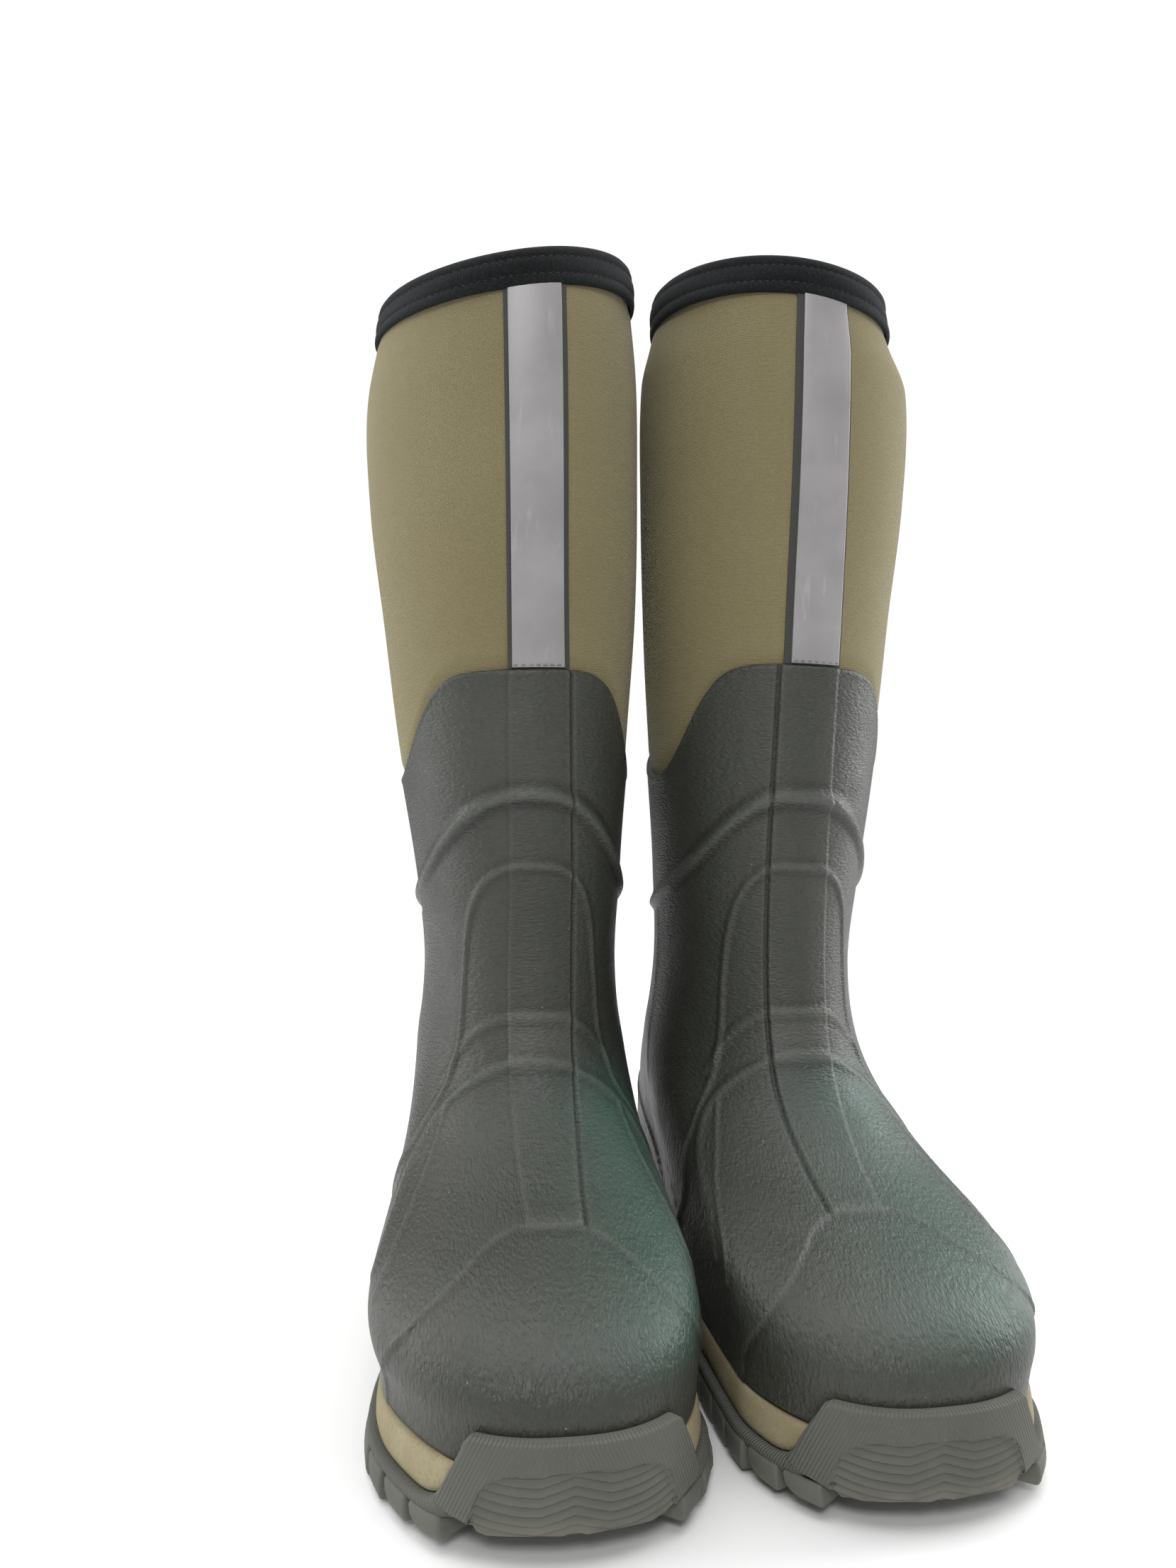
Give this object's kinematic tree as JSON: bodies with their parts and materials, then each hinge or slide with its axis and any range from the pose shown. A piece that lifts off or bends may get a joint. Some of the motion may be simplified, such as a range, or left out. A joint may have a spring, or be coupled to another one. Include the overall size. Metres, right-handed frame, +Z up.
{
  "type": "insulated rubber and neoprene hunting boots",
  "caption": "Pair of knee-high pull-on boots: olive neoprene shafts with a silver strip down the front, dark rubber feet, tan midsoles and lugged outsoles.",
  "frame": {"origin": "on the ground under the middle of the pair's bounding box", "axes": "+Z up the shafts, toes along -Y, the right boot on the -X side and the left boot on the +X side"},
  "size_m": [0.2381, 0.2854, 0.4516],
  "materials": {
    "outsole_rubber": "matt moulded rubber, hatched and ribbed",
    "midsole_foam": "matt tan foam",
    "upper_rubber": "satin olive-black rubber, fine leather-like grain",
    "neoprene_knit": "olive-tan knit face on foam, matt with a soft sheen",
    "stretch_binding": "black stretch fabric, topstitched",
    "backing_tape": "flat dark woven tape",
    "reflective_film": "satin silver-grey film",
    "lining_knit": "brushed charcoal knit",
    "footbed_foam": "dark fabric-faced foam",
    "lasting_board": "plain fibre board",
    "stiffener_board": "plain fibre board",
    "spring_steel": "plain strip"
  },
  "bodies": {
    "right_boot": {"right_outsole": "outsole_rubber", "right_midsole": "midsole_foam", "right_rubber_shell": "upper_rubber", "right_neoprene_bootie": "neoprene_knit", "right_collar_binding": "stretch_binding", "right_front_backing_tape": "backing_tape", "right_front_reflective_strip": "reflective_film", "right_rear_seam_tape": "backing_tape", "right_lining": "lining_knit", "right_insole_board": "lasting_board", "right_shank": "spring_steel", "right_heel_counter": "stiffener_board", "right_toe_puff": "stiffener_board"},
    "right_insole": {"right_footbed": "footbed_foam"},
    "left_boot": {"left_outsole": "outsole_rubber", "left_midsole": "midsole_foam", "left_rubber_shell": "upper_rubber", "left_neoprene_bootie": "neoprene_knit", "left_collar_binding": "stretch_binding", "left_front_backing_tape": "backing_tape", "left_front_reflective_strip": "reflective_film", "left_rear_seam_tape": "backing_tape", "left_lining": "lining_knit", "left_insole_board": "lasting_board", "left_shank": "spring_steel", "left_heel_counter": "stiffener_board", "left_toe_puff": "stiffener_board"},
    "left_insole": {"left_footbed": "footbed_foam"}
  },
  "joints": [
    {"name": "left_boot_apart", "type": "slide", "parent": "right_boot", "child": "left_boot", "axis": [1, 0, 0], "range_m": [0, 0.3]},
    {"name": "right_footbed_lift", "type": "hinge", "parent": "right_boot", "child": "right_insole", "pos_m": [-0.0544, -0.1219, 0.0368], "axis": [1, 0, 0], "range_deg": [0, 6]},
    {"name": "left_footbed_lift", "type": "hinge", "parent": "left_boot", "child": "left_insole", "pos_m": [0.0544, -0.1219, 0.0368], "axis": [1, 0, 0], "range_deg": [0, 6]}
  ]
}
